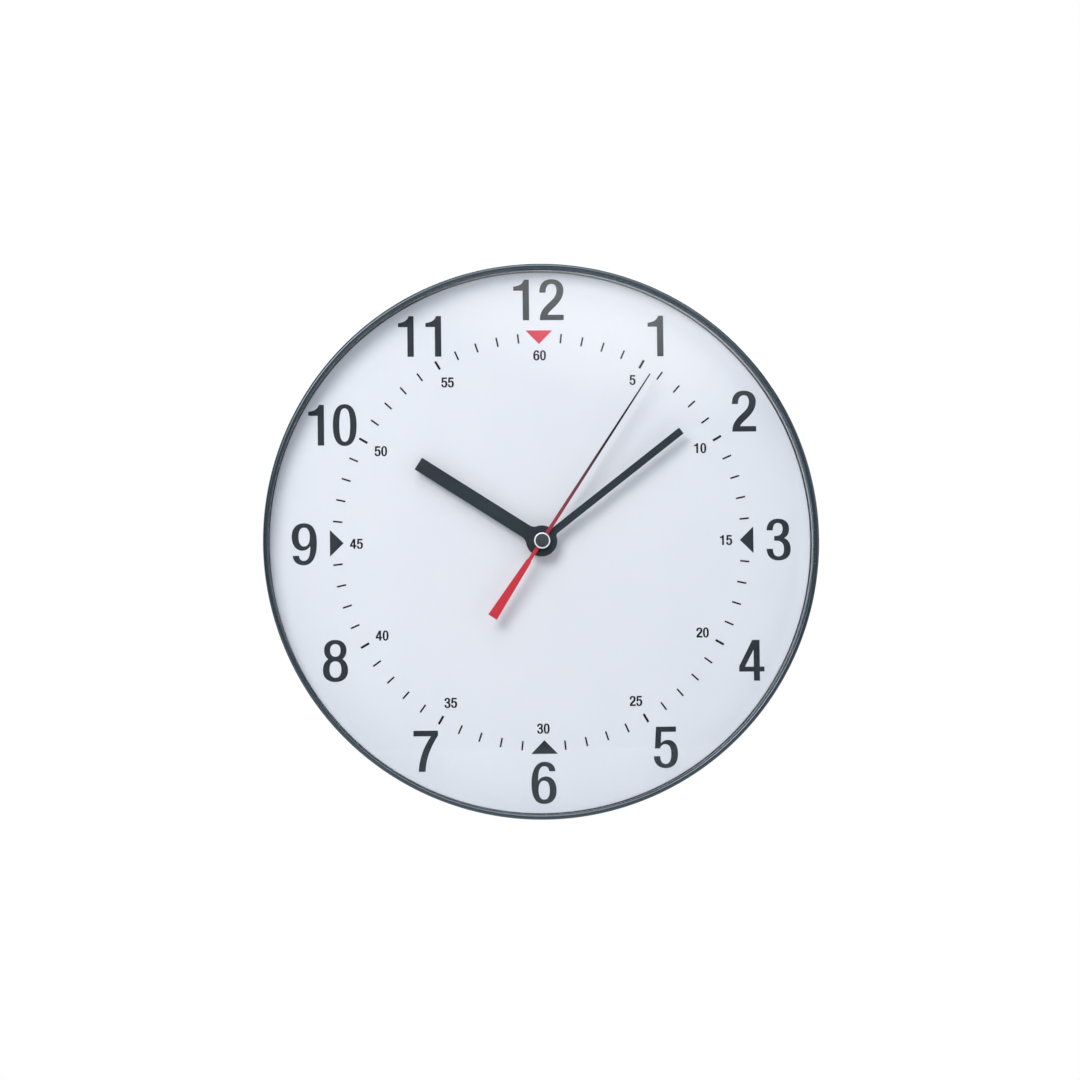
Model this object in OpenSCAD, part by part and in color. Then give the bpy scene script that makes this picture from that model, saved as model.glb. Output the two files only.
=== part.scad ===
// Quartz wall clock with a ribbed case, a clip-on bezel, a domed lens and a geared movement.
// It is drawn face up: x to the right, y up the dial, z out of the wall, with z = 0 on the wall.
// upright() then turns it to stand on the wall, with its face towards -Y and its top towards +Z.

/* [Case] */
// Outer diameter of the bezel
bezel_d = 300; // [292:1:312]
// Wall thickness of the bezel
bezel_wall = 1.8; // [1.6:0.1:2.2]
// Width of the bezel's front lip, seen from the front
lip_w = 3; // [2.6:0.1:3.6]
// Thickness of the bezel's front lip
lip_t = 2.2; // [1.8:0.1:2.8]
// How far the bezel's side reaches back past the dial
bezel_skirt = 8; // [7:0.5:10]
// Height of the dial seat above the wall
seat_z = 26; // [26:0.5:32]
// Thickness of the case floor behind the dial
floor_t = 2; // [1.6:0.1:2.6]
// Wall thickness of the case skirt
case_wall = 2.2; // [1.8:0.1:2.8]
// Radius of the skirt's curved side
skirt_r = 30; // [26:1:40]
// Width of the flat rim that meets the wall
rim_w = 4.5; // [3.5:0.5:6]
// Thickness of the flat rim
rim_t = 1.8; // [1.4:0.1:2.4]
// Number of clips that hold the bezel
clips = 8; // [6:1:12]
// Length of each clip round the bezel
clip_l = 14; // [10:1:20]

/* [Ribs] */
// Number of radial ribs
ribs = 12; // [8:2:16]
// Thickness of the ribs
rib_t = 1.6; // [1.2:0.1:2.2]
// Depth of the ribs below the floor
rib_h = 6; // [4:0.5:8]
// Radius of the inner ring rib
ring_rib_1 = 62; // [56:1:72]
// Radius of the outer ring rib
ring_rib_2 = 98; // [90:1:102]

/* [Hanger] */
// Height of the keyhole's round entry above the centre
key_y = 112; // [108:1:118]
// Diameter of the keyhole's round entry
key_d = 9; // [8:0.5:10]
// Width of the keyhole's slot
slot_w = 4.2; // [3.4:0.2:4.6]
// Rise of the slot above the entry
slot_rise = 9; // [8:0.5:11]
// Thickness of the hanger plate
hanger_t = 2; // [1.6:0.2:3]
// Depth of the hanger plate behind the rim
hanger_z = 1.6; // [1:0.2:3]
// Width of the hanger box
hanger_w = 28; // [24:1:34]

/* [Dial and lens] */
// Thickness of the dial sheet
dial_t = 0.5; // [0.3:0.1:0.8]
// Height of the spacer ring between dial and lens
spacer_h = 7.4; // [6.8:0.2:9]
// Width of the spacer ring's foot on the dial
spacer_w = 1.8; // [1.6:0.1:2.4]
// Thickness of the lens flange
flange_t = 1.5; // [1.2:0.1:2]
// Thickness of the lens
lens_t = 2; // [1.6:0.1:2.6]
// Rise of the dome above the flange
lens_rise = 8.8; // [8.4:0.2:14]

/* [Hands] */
// Length of the hour hand from the axis
hour_l = 78.6; // [70:0.2:84]
// Width of the hour hand
hour_w = 7.5; // [6:0.1:9]
// Length of the minute hand from the axis
minute_l = 96.5; // [90:0.5:104]
// Width of the minute hand
minute_w = 4; // [3:0.1:5]
// Diameter of the hands' round bosses
boss_d = 16.7; // [15:0.1:18]
// Thickness of the hour and minute hands
hand_t = 0.8; // [0.5:0.1:1]
// Length of the second hand from the axis
second_l = 107.8; // [100:0.2:112]
// Length of the second hand's tail
tail_l = 49.1; // [40:0.1:54]
// Width of the second hand at the axis
second_w = 2.1; // [1.6:0.1:2.6]
// Width of the second hand's tip
second_tip_w = 0.7; // [0.4:0.1:0.8]
// Width of the tail's end
tail_w = 5.5; // [4:0.1:7]
// Thickness of the second hand
second_t = 0.5; // [0.4:0.1:0.6]
// Diameter of the cap on the second hand
cap_d = 8.85; // [8:0.05:10]
// Height of the cap
cap_h = 2; // [1.6:0.1:2.4]
// Width of the bright ring round the cap's inlay
cap_ring = 1.08; // [0.8:0.02:1.4]
// Angle of the hour hand, clockwise from twelve
hour_angle = 302.7; // [0:0.1:359]
// Angle of the minute hand, clockwise from twelve
minute_angle = 52.2; // [0:0.1:359]
// Angle of the second hand, clockwise from twelve
second_angle = 33.5; // [0:0.1:359]

/* [Movement] */
// Side of the square movement
move_w = 56; // [56:0.5:58]
// Depth of the movement
move_depth = 16; // [16:0.2:17]
// Wall thickness of the movement's shells
shell_t = 1; // [0.9:0.1:1.2]
// Thickness of the shells' front and rear walls
plate_t = 1.2; // [1:0.1:1.3]
// Diameter of the threaded boss
thread_d = 8; // [7.6:0.1:8.4]
// Diameter of the hour tube
hour_tube_d = 5; // [4.8:0.05:5.4]
// Diameter of the minute tube
minute_tube_d = 3.2; // [3:0.05:3.4]
// Diameter of the seconds arbor
arbor_d = 1; // [0.9:0.02:1.1]
// Thickness of the rubber washer behind the floor
rubber_t = 0.8; // [0.6:0.1:1.2]
// Thickness of the brass washer on the dial
washer_t = 0.5; // [0.4:0.1:0.8]
// Thickness of the nut on the dial
nut_t = 2.2; // [2:0.1:2.6]
// Distance across the nut's flats
nut_af = 12; // [11:0.5:13]
// Diameter of the setting knob
knob_d = 10; // [8:0.5:12]
// Height of the setting knob
knob_h = 3.2; // [2.6:0.2:3.6]

/* [Gears] */
// Distance from the seconds axis to the third wheel's
third_cd = 11.6; // [11.5:0.05:11.7]
// Distance from the hand axis to the motion wheel's
motion_cd = 12; // [11.9:0.05:12.1]
// Distance from the seconds axis to the intermediate wheel's
inter_cd = 9.6; // [9.5:0.05:9.7]
// Distance from the intermediate wheel's axis to the rotor's
rotor_cd = 9.8; // [9.7:0.05:9.9]
// Thickness of the wheels
wheel_t = 0.9; // [0.7:0.1:1]
// Radial clearance of every running fit
run = 0.05; // [0.03:0.01:0.08]

/* [Battery] */
// Diameter of the cell
cell_d = 14.2; // [14:0.05:14.3]
// Length of the cell with its button
cell_l = 50.5; // [49.8:0.1:50.5]
// Thickness of the contact strips
strip_t = 0.3; // [0.2:0.05:0.4]

/* [Hidden] */
$fn = 96;

black = [0.09, 0.1, 0.11];
charcoal = [0.18, 0.22, 0.25];
silver_white = [0.84, 0.87, 0.91];
brass_colour = [0.78, 0.62, 0.32];
steel_colour = [0.72, 0.74, 0.77];
white_plastic = [0.9, 0.9, 0.87];
red = [0.8, 0.22, 0.27];

eps = 0.01; // overlap that joins two shapes of one piece
fit = 0.2; // radial play of clipped and dropped-in pieces
press = 0.02; // play of pieces pressed onto one another
air = 0.1; // gap between faces that only come near each other
cut = 1; // how far a cut runs past the face it opens

// Case, bezel and lens
bezel_r = bezel_d / 2;
bezel_in = bezel_r - bezel_wall;
band_r = bezel_in - fit;
band_in = band_r - case_wall;
floor_rear = seat_z - floor_t;
bezel_rear = seat_z - bezel_skirt;
reveal = 0.4; // shadow gap between bezel and skirt
skirt_top = bezel_rear - reveal;
skirt_inset = 1;
skirt_edge = bezel_r - skirt_inset;
skirt_c = skirt_edge - skirt_r; // centre of the skirt's curve, from the axis
rim_r = skirt_c + sqrt(pow(skirt_r, 2) - pow(skirt_top, 2));
dial_front = seat_z + dial_t;
lens_rear = dial_front + spacer_h;
flange_front = lens_rear + flange_t;
lip_rear = flange_front + air;
lip_front = lip_rear + lip_t;
lip_in = bezel_r - lip_w;
lip_flat = 0.3; // least straight height of the lip behind its bead
bead_r = min(lip_w / 2, lip_t - lip_flat);
spacer_foot_h = 0.7;
spacer_foot_step = 0.6;
lens_play = 0.3;
lens_r = bezel_in - lens_play;
dome_inset = 0.8;
dome_r = lip_in - dome_inset;
dome_step = 0.6;
dome_edge = flange_front + dome_step; // height of the dome's outer face at its edge
lens_apex = flange_front + lens_rise;
dome_h = lens_apex - dome_edge;
dome_R = (pow(dome_r, 2) + pow(dome_h, 2)) / (2 * dome_h);
clip_t = 1.2;
clip_h = 2;
clip_up = 2.2;
clip_lead = 0.4; // lead-in of each clip
clip_z = bezel_rear + clip_up;

// Movement, from its front face back
move_front = floor_rear - rubber_t;
move_rear = move_front - move_depth;
half = move_w / 2;
inner = half - shell_t;
front_in = move_front - plate_t;
rear_in = move_rear + plate_t;
front_depth = 9.2; // of the front shell
split_z = move_front - front_depth;
cell_r = cell_d / 2;
bay_floor = -inner;
cell_play = 0.15;
cell_y = bay_floor + cell_play + cell_r;
bay_top = cell_y + cell_r + cell_play;
bay_wall = 1.1;
bay_gap = bay_top + bay_wall; // lower edge of the gear space
cell_z = front_in - fit - cell_r;
thread_r = thread_d / 2;
thread_proud = 0.7; // thread that stands out of the nut
thread_top = dial_front + washer_t + nut_t + thread_proud;
hour_tube_r = hour_tube_d / 2;
minute_tube_r = minute_tube_d / 2;
arbor_r = arbor_d / 2;
post_r = 1.4;
post_inset = 1.6;
post_x = 17.5; // the two posts beside the bay's wall
post_up = 2;
post_at = [
    [inner - post_inset, inner - post_inset], [post_inset - inner, inner - post_inset],
    [post_x, bay_gap + post_up], [-post_x, bay_gap + post_up]];
pin_r = 0.7;

// Levels of the train, from the front wall back
washer_h = 0.55; // room for the spring washer ahead of the hour wheel
end_play = 0.05; // of a wheel along its axis
motion_gap = 0.75;
plate_gap = 0.5;
middle_t = 1;
clutch_h = 0.8; // room for the friction spring
wheel_gap = 0.9;
inter_gap = 1.1;
washer_level = front_in - washer_h;
hour_level = washer_level - wheel_t - end_play;
motion_level = hour_level - wheel_t - motion_gap;
plate_top = motion_level - plate_gap; // front face of the middle plate
plate_rear = plate_top - middle_t;
minute_level = plate_rear - clutch_h - wheel_t;
third_level = minute_level - wheel_gap - wheel_t;
seconds_level = third_level - wheel_gap - wheel_t;
inter_level = seconds_level - inter_gap - wheel_t;

// Heights of the hands
hour_lift = 1.1; // hour hand above the thread
hand_gap = 1.4;
hour_z = thread_top + hour_lift;
minute_z = hour_z + hand_t + hand_gap;
second_z = minute_z + hand_t + hand_gap;
cap_z = second_z + second_t;
collet_h = 0.9;

// Arbors of the train
third_dir = 60;
motion_dir = 150;
inter_dir = -10;
rotor_dir = 20;
third_at = third_cd * [cos(third_dir), sin(third_dir)];
motion_at = motion_cd * [cos(motion_dir), sin(motion_dir)];
inter_at = inter_cd * [cos(inter_dir), sin(inter_dir)];
rotor_at = inter_at + rotor_cd * [cos(rotor_dir), sin(rotor_dir)];
third_pivot = 0.45;
rotor_pivot = 0.4;
motion_r = 1; // motion arbor
bush_r = 2; // brass bush round it
inter_post = 0.74;
minute_neck = 2.2; // minute arbor where the middle plate guides it

// Teeth: rotor 8 to 48, intermediate 8 to 40, seconds 8 to 60, third 8 to 64,
// minute 12 to 36, motion 10 to 40
rotor_n = 8;
inter_n = 48;
inter_pin_n = 8;
seconds_n = 40;
seconds_pin_n = 8;
third_n = 60;
third_pin_n = 8;
minute_n = 64;
minute_pin_n = 12;
motion_n = 36;
motion_pin_n = 10;
hour_n = 40;
pressure = 20; // pressure angle
addendum = 0.9; // of a module
dedendum = 1.3;
wheel_share = 0.46; // tooth width at the pitch circle, as a share of the pitch
pinion_share = 0.38;

function module_of(cd, a, b) = 2 * cd / (a + b);

// Phase of gear b, in degrees, that meshes with gear a at phase pa; dir points from a to b.
function meshed(na, pa, nb, dir) = dir + 180 + 180 / nb - (pa - dir) * na / nb;

// Polar angle, in degrees, that an involute has turned through at radius r.
function involute(base, r) = r <= base ? 0 : let (a = acos(base / r)) tan(a) * 180 / PI - a;

// Half the angle of a tooth at radius r.
function tooth_half(n, m, share, r) =
    let (pitch = n * m / 2, base = pitch * cos(pressure))
    180 / n * share + involute(base, pitch) - involute(base, r);

function gear_points(n, m, share, phase) =
    let (pitch = n * m / 2, radii = [pitch - dedendum * m, pitch, pitch + addendum * m])
    [for (i = [0 : n - 1]) for (s = [0 : 5])
        let (r = radii[s < 3 ? s : 5 - s], side = s < 3 ? -1 : 1)
        let (a = phase + 360 / n * i + side * tooth_half(n, m, share, r))
        r * [cos(a), sin(a)]];

third_m = module_of(third_cd, seconds_pin_n, third_n);
minute_m = module_of(third_cd, third_pin_n, minute_n);
motion_m = module_of(motion_cd, minute_pin_n, motion_n);
hour_m = module_of(motion_cd, motion_pin_n, hour_n);
seconds_m = module_of(inter_cd, inter_pin_n, seconds_n);
inter_m = module_of(rotor_cd, rotor_n, inter_n);

module upright() { rotate([90, 0, 0]) children(); }

module at(p, z = 0) { translate([p[0], p[1], z]) children(); }

module pipe(r_out, r_in, z0, z1) {
    translate([0, 0, z0]) linear_extrude(z1 - z0) difference() {
        circle(r = r_out);
        circle(r = r_in);
    }
}

module rod(r, z0, z1) { translate([0, 0, z0]) cylinder(r = r, h = z1 - z0); }

module block(p0, p1) { translate(p0) cube(p1 - p0); }

// A row of copies round the axis
module around(count, first = 0) {
    for (i = [0 : count - 1]) rotate([0, 0, first + 360 / count * i]) children();
}

// Toothed disc of thickness t, from height z up
module toothed(n, m, share, phase, z, t) {
    translate([0, 0, z]) linear_extrude(t) polygon(gear_points(n, m, share, phase));
}

// Moulded wheel: toothed rim, thin web with round windows, and hub
module wheel(n, m, phase, z, hub_r, windows) {
    tooth_root = 0.9; // rim under the teeth
    recess = 0.3; // web below the rim and hub
    rim = n * m / 2 - dedendum * m - tooth_root;
    web_r = (rim + hub_r) / 2;
    window_r = (rim - hub_r) * 0.32;
    difference() {
        toothed(n, m, wheel_share, phase, z, wheel_t);
        translate([0, 0, z + wheel_t - recess]) linear_extrude(cut) difference() {
            circle(r = rim);
            circle(r = hub_r);
        }
        around(windows) translate([web_r, 0, z - cut]) cylinder(r = window_r, h = wheel_t + 2 * cut);
    }
}

module pinion(n, m, z0, z1) { toothed(n, m, pinion_share, 0, z0, z1 - z0); }

// Case

rim_lap = 0.6; // how far the flat rim stops inside the skirt's outer face
band_lap = 2; // how far the upright band reaches down inside the skirt

module skirt_profile() {
    intersection() {
        translate([skirt_c, skirt_top]) difference() {
            circle(r = skirt_r, $fn = 256);
            circle(r = skirt_r - case_wall, $fn = 256);
        }
        translate([skirt_c, 0]) square([skirt_r, skirt_top]);
    }
}

module case_profile() {
    skirt_profile();
    translate([rim_r - rim_w, 0]) square([rim_w - rim_lap, rim_t]);
    translate([band_in, skirt_top - band_lap]) square([case_wall, seat_z - skirt_top + band_lap]);
    translate([0, floor_rear]) square([band_r, floor_t]);
}

// Radial rib that deepens towards the skirt, drawn in the plane of radius and height
module radial_rib() {
    root = half + shell_t + 16; // clear of the movement's corners
    deep = floor_rear - rib_h;
    foot = rim_t + 4; // the rib's rear edge above the rim
    sunk = 0.8; // into the band
    rotate([90, 0, 0]) translate([0, 0, -rib_t / 2]) linear_extrude(rib_t) polygon([
        [root, floor_rear + eps], [root, deep], [ring_rib_2, deep], [rim_r - 6, foot],
        [rim_r - 2.2, foot], [band_in + sunk, skirt_top - 1], [band_in + sunk, floor_rear + eps]]);
}

module ring_rib(r) {
    lower = 1; // than the radial ribs
    pipe(r + rib_t / 2, r - rib_t / 2, floor_rear - rib_h + lower, floor_rear + eps);
}

// Corner of the frame that locates the movement
module seat_corner() {
    a = half + fit;
    arm = 8;
    difference() {
        block([a - arm, a - arm, floor_rear - rib_h], [a + rib_t, a + rib_t, floor_rear + eps]);
        block([a - arm - cut, a - arm - cut, floor_rear - rib_h - cut], [a, a, floor_rear + cut]);
    }
}

module keyhole() {
    translate([0, key_y]) circle(d = key_d);
    translate([-slot_w / 2, key_y]) square([slot_w, slot_rise]);
    translate([0, key_y + slot_rise]) circle(d = slot_w);
}

hanger_low = key_y - key_d / 2 - 5; // walls clear of the screw's head
hanger_high = key_y + slot_rise + slot_w / 2 + 4;

module hanger_box() {
    difference() {
        block([-hanger_w / 2, hanger_low, hanger_z], [hanger_w / 2, hanger_high, floor_rear + eps]);
        block([rib_t - hanger_w / 2, hanger_low + rib_t, hanger_z + hanger_t],
              [hanger_w / 2 - rib_t, hanger_high - rib_t, floor_rear + cut]);
    }
}

module case() {
    lap = 0.2; // how far the ribs run into the hanger's walls
    color(black) upright() difference() {
        union() {
            rotate_extrude($fn = 256) case_profile();
            intersection() {
                union() {
                    around(ribs, 180 / ribs) radial_rib();
                    ring_rib(ring_rib_1);
                    ring_rib(ring_rib_2);
                    for (x = [0, 1], y = [0, 1]) mirror([x, 0, 0]) mirror([0, y, 0]) seat_corner();
                }
                difference() {
                    rod(band_r - 1, 0, seat_z);
                    block([-hanger_w / 2 + lap, hanger_low + lap, 0],
                          [hanger_w / 2 - lap, hanger_high - lap, floor_rear]);
                }
            }
            hanger_box();
        }
        translate([0, 0, -cut]) linear_extrude(hanger_z + hanger_t + 2 * cut) keyhole();
        rod(thread_r + fit, floor_rear - cut, seat_z + cut);
        clip_round(clip_l + 2 * fit) translate([band_in - cut, clip_z - fit])
            square([case_wall + 2 * cut, clip_h + 2 * fit]);
    }
}

// Copies of a profile turned through the angle that a length takes up at the bezel
module clip_round(length) {
    a = length / bezel_r * 180 / PI;
    around(clips, 90 / clips) rotate([0, 0, -a / 2]) rotate_extrude(angle = a, $fn = 256) children();
}

// The side wall, and a lip whose front is a half-round bead
module bezel_profile() {
    shoulder = lip_front - bead_r;
    translate([bezel_in, bezel_rear]) square([bezel_wall, shoulder - bezel_rear]);
    translate([lip_in, lip_rear]) square([lip_w, shoulder - lip_rear]);
    translate([bezel_r - bead_r, shoulder]) intersection() {
        circle(r = bead_r);
        translate([-bead_r, 0]) square([2 * bead_r, bead_r]);
    }
}

module bezel() {
    color(charcoal) upright() {
        rotate_extrude($fn = 256) bezel_profile();
        clip_round(clip_l) polygon([
            [bezel_in + eps, clip_z], [bezel_in - clip_t, clip_z + clip_h - clip_lead],
            [bezel_in - clip_t, clip_z + clip_h], [bezel_in + eps, clip_z + clip_h]]);
    }
}

module lens() {
    color([0.85, 0.93, 0.97, 0.3]) upright() rotate_extrude($fn = 256) {
        intersection() {
            translate([0, lens_apex - dome_R]) difference() {
                circle(r = dome_R, $fn = 720);
                circle(r = dome_R - lens_t, $fn = 720);
            }
            translate([0, lens_rear]) square([dome_r, lens_rise + flange_t + 1]);
        }
        translate([dome_r - lens_t, lens_rear]) square([lens_r - dome_r + lens_t, flange_t]);
        translate([dome_r - 1, lens_rear]) square([1, dome_edge - lens_rear - 0.02]);
    }
}

// A thin upright wall on a foot that holds the dial down
module spacer_ring() {
    foot_in = lens_r - spacer_w;
    wall_in = foot_in + spacer_foot_step;
    color(charcoal) upright() rotate_extrude($fn = 256) polygon([
        [foot_in, dial_front], [lens_r, dial_front], [lens_r, lens_rear], [wall_in, lens_rear],
        [wall_in, dial_front + spacer_foot_h + spacer_foot_step], [foot_in, dial_front + spacer_foot_h]]);
}

module dial() {
    color(silver_white) upright() pipe(lens_r + air, thread_r + fit, seat_z, dial_front);
}

module rubber_washer() {
    rubber_w = 5;
    color(black) upright() pipe(thread_r + rubber_w, thread_r + fit, move_front, floor_rear);
}

module dial_washer() {
    washer_w = 3;
    color(brass_colour) upright() pipe(thread_r + washer_w, thread_r + fit / 2, dial_front, dial_front + washer_t);
}

module dial_nut() {
    z = dial_front + washer_t;
    corner = nut_af / 2 / cos(30);
    color(brass_colour) upright() difference() {
        translate([0, 0, z]) intersection() {
            cylinder(r = corner, h = nut_t, $fn = 6);
            cylinder(r1 = corner + 0.2, r2 = nut_af / 2 + 0.1, h = nut_t); // bevels the corners
        }
        rod(thread_r + press, z - cut, z + nut_t + cut);
    }
}

// Movement shells

module rounded_square(h_side, r) {
    a = h_side - r;
    square([2 * h_side, 2 * a], center = true);
    square([2 * a, 2 * h_side], center = true);
    for (x = [-a, a], y = [-a, a]) translate([x, y]) circle(r = r);
}

tab_y = 12;
tab_w = 5;
tab_t = 1;
window_w = 3.2;
catch_w = 2.8;
catch_t = 0.8;
catch_h = 1.2;
catch_z = split_z + 2.2;
corner_r = 2; // of the shells' outline
foot_r = 3.4; // how far the boss's root stands out from its thread
post_pin_l = 1.6; // pins past the middle plate, into the rear cover's posts
tip_r = 0.6; // motion arbor's front tip

// Window tab or catch on both sides, above and below the middle
module both_sides() {
    for (x = [0, 1], y = [-tab_y, tab_y]) mirror([x, 0, 0]) translate([0, y, 0]) children();
}

module movement_front() {
    boss_r = hour_tube_r + run;
    color(black) upright() difference() {
        union() {
            difference() {
                translate([0, 0, split_z]) linear_extrude(move_front - split_z) rounded_square(half, corner_r);
                block([-inner, -inner, split_z - cut], [inner, inner, front_in]);
            }
            block([-inner - eps, bay_top, split_z], [inner + eps, bay_gap, front_in + eps]);
            rod(thread_r, front_in, thread_top);
            rod(thread_r + foot_r, front_in, move_front);
            for (p = post_at) at(p) {
                rod(post_r, plate_top, front_in + eps);
                rod(pin_r, plate_rear - post_pin_l, plate_top + 1);
            }
            both_sides() rotate([90, 0, 0]) translate([0, 0, -catch_w / 2]) linear_extrude(catch_w) polygon([
                [half - eps, catch_z], [half + catch_t, catch_z + catch_h], [half - eps, catch_z + catch_h]]);
        }
        rod(boss_r, front_in - cut, thread_top + cut);
        at(motion_at) rod(tip_r + run, front_in - cut, front_in + 0.8);
    }
}

module middle_plate() {
    edge = inner - 0.3;
    bores = [
        [[0, 0], minute_neck], [motion_at, motion_r], [third_at, third_pivot], [rotor_at, rotor_pivot]];
    color(white_plastic) upright() difference() {
        block([-edge, bay_gap + fit, plate_rear], [edge, edge, plate_top]);
        for (b = bores) at(b[0]) rod(b[1] + run, plate_rear - cut, plate_top + cut);
        for (p = post_at) at(p) rod(pin_r + run, plate_rear - cut, plate_top + cut);
    }
}

module rear_cover() {
    tip = third_level - 0.3; // the intermediate wheel's post ends here
    ledge = 1; // keeps the contacts in at the bay's ends
    finger_r = 6; // notch that lifts the cell out
    slot_t = 1.2; // slots in the bay's wall for the contacts' strips
    slot_h = 1.8;
    color(black) upright() difference() {
        union() {
            difference() {
                translate([0, 0, move_rear]) linear_extrude(split_z - move_rear) rounded_square(half, corner_r);
                block([-inner, -inner, rear_in], [inner, inner, split_z + cut]);
            }
            block([-inner - eps, bay_top, move_rear + eps], [inner + eps, bay_gap, split_z]);
            for (p = post_at) at(p) rod(post_r, rear_in - eps, plate_rear);
            rod(1.6, rear_in - eps, inter_level - 0.3);
            at(third_at) rod(1.3, rear_in - eps, inter_level - 0.3);
            at(rotor_at) rod(1.2, rear_in - eps, inter_level - 0.8);
            at(inter_at) rod(1.4, rear_in - eps, inter_level - 0.15);
            at(inter_at) rod(inter_post, rear_in - eps, tip);
            at(motion_at) rod(bush_r + 1, move_rear - 0.4, rear_in + 0.6);
            for (p = board_posts) at(p) {
                rod(board_post_r, rear_in - eps, board_z);
                rod(board_pin_r, rear_in, board_z + 0.7);
            }
            both_sides() difference() {
                block([half - eps, -tab_w / 2, split_z - 4], [half + tab_t, tab_w / 2, catch_z + 2.4]);
                block([half - cut, -window_w / 2, catch_z - fit],
                      [half + tab_t + cut, window_w / 2, catch_z + catch_h + fit]);
                block([half - cut, -tab_w, split_z], [half + air, tab_w, catch_z + 3]);
            }
        }
        block([ledge - inner, bay_floor, move_rear - cut], [inner - ledge, bay_top, rear_in + cut]);
        translate([0, -half - cut, move_rear - 2]) rotate([-90, 0, 0])
            cylinder(r = finger_r, h = shell_t + 2 * cut);
        rod(arbor_r + run, rear_in - 0.5, inter_level);
        at(third_at) rod(third_pivot + run, rear_in - 0.5, inter_level);
        at(rotor_at) rod(rotor_pivot + run, rear_in - 0.5, inter_level);
        at(motion_at) rod(bush_r + run, move_rear - 1, rear_in + 1);
        for (p = post_at) at(p) rod(pin_r + run, plate_rear - 2, plate_rear + 1);
        for (side = [0, 1]) mirror([side, 0, 0])
            block([inner - slot_t, bay_top - cut, rear_in], [inner + eps, bay_gap + cut, rear_in + slot_h]);
    }
}

// Circuit and motor

board_z = rear_in + 0.8;
board_t = 0.8;
board_edge = 0.9; // gap between board and shell
board_x = inner - 6.4;
board_y = bay_gap + 3;
board_l = 13;
board_post_r = 1;
board_pin_r = 0.45;
board_posts = [[board_x + 1.6, board_y + 1.6], [inner - 2, board_y + board_l - 2]];
board_front = board_z + board_t;

module circuit_board() {
    color([0.12, 0.36, 0.2]) upright() difference() {
        block([board_x, board_y, board_z], [inner - board_edge, board_y + board_l, board_front]);
        for (p = board_posts) at(p) rod(board_pin_r + run, board_z - cut, board_front + cut);
    }
}

module chip() {
    dome = 2.6;
    color(black) upright() translate([board_x + 4, board_y + 3.4, board_front]) intersection() {
        translate([0, 0, 1 - dome]) sphere(r = dome);
        cylinder(r = dome, h = 2);
    }
}

module quartz_crystal() {
    can_r = 1;
    color(steel_colour) upright() translate([board_x + 3.4, board_y + 6, board_front + can_r])
        rotate([-90, 0, 0]) {
            cylinder(r = can_r, h = 6);
            translate([0, 0, -0.3]) cylinder(r = can_r * 0.8, h = 1);
        }
}

coil_x = inner - 5;
coil_y0 = rotor_at[1] + 4.4;
coil_l = 15.5;
coil_r = 3.5;
stator_z = seconds_level + 0.5;
stator_t = 0.9;
coil_z = stator_z + stator_t / 2;
core_w = 2.4;
barrel_r = 1.8;
flange = 0.8;

module along_coil(y0, y1) {
    translate([coil_x, coil_y0 + y0, coil_z]) rotate([-90, 0, 0]) linear_extrude(y1 - y0) children();
}

module coil_bobbin() {
    color(white_plastic) upright() difference() {
        union() {
            along_coil(0, coil_l) circle(r = barrel_r);
            along_coil(0, flange) circle(r = coil_r + 0.3);
            along_coil(coil_l - flange, coil_l) circle(r = coil_r + 0.3);
        }
        along_coil(-1, coil_l + 1) square([core_w + 0.1, stator_t + 0.1], center = true);
    }
}

module coil_winding() {
    color([0.72, 0.36, 0.2]) upright() along_coil(flange + press, coil_l - flange - press) difference() {
        circle(r = coil_r);
        circle(r = barrel_r + press);
    }
}

module stator() {
    arm_x = coil_x - coil_r - 3.2;
    top = coil_y0 + coil_l + 0.6;
    color(steel_colour) upright() translate([0, 0, stator_z]) linear_extrude(stator_t) difference() {
        union() {
            translate(rotor_at) circle(r = 5.2);
            translate([arm_x, rotor_at[1]]) square([core_w, top - rotor_at[1] + core_w]);
            translate([arm_x, top]) square([coil_x + core_w / 2 - arm_x, core_w]);
            translate([coil_x - core_w / 2, rotor_at[1] + 3]) square([core_w, top - rotor_at[1] - 2]);
        }
        translate(rotor_at) circle(r = 3.1);
        translate([arm_x + core_w, rotor_at[1] + 3.9]) square([coil_x - core_w / 2 - arm_x - core_w, 1.6]);
    }
}

contact_x = inner - 0.4; // outer face of the contact plates
contact_z0 = rear_in + 0.6;
contact_top = cell_z + 4;

module contact_plate() {
    block([contact_x - strip_t, bay_floor + 1.2, contact_z0], [contact_x, bay_top - 0.4, contact_top]);
    block([contact_x - strip_t, bay_top - 1, contact_z0], [contact_x, bay_gap + 3.6, contact_z0 + 1]);
}

module positive_contact() {
    foot = board_z - 0.02;
    color(brass_colour) upright() {
        contact_plate();
        block([contact_x - 2.4, bay_gap + 3, foot - strip_t], [contact_x, bay_gap + 4.6, foot]);
    }
}

// Height of the gap between the cell's flat end and the plate behind it
leaf_rise = 2 * contact_x - strip_t - cell_l - strip_t - 0.1;

module negative_contact() {
    leaf_r = 9;
    foot = board_z - 0.02;
    run_y = bay_gap + 0.1;
    color(brass_colour) upright() {
        mirror([1, 0, 0]) {
            contact_plate();
            translate([0, 0, cell_z - 2.5]) linear_extrude(5) intersection() {
                translate([contact_x - strip_t - leaf_rise + leaf_r, cell_y]) difference() {
                    circle(r = leaf_r);
                    circle(r = leaf_r - strip_t);
                }
                translate([contact_x - strip_t - leaf_rise - 1, cell_y - leaf_r])
                    square([leaf_rise + 1 + eps, 2 * leaf_r]);
            }
        }
        block([-contact_x, run_y, contact_z0], [board_x + 1.6, run_y + strip_t, contact_z0 + 1]);
        block([board_x, run_y, foot - strip_t], [board_x + 1.6, board_y + 0.5, foot]);
    }
}

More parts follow.
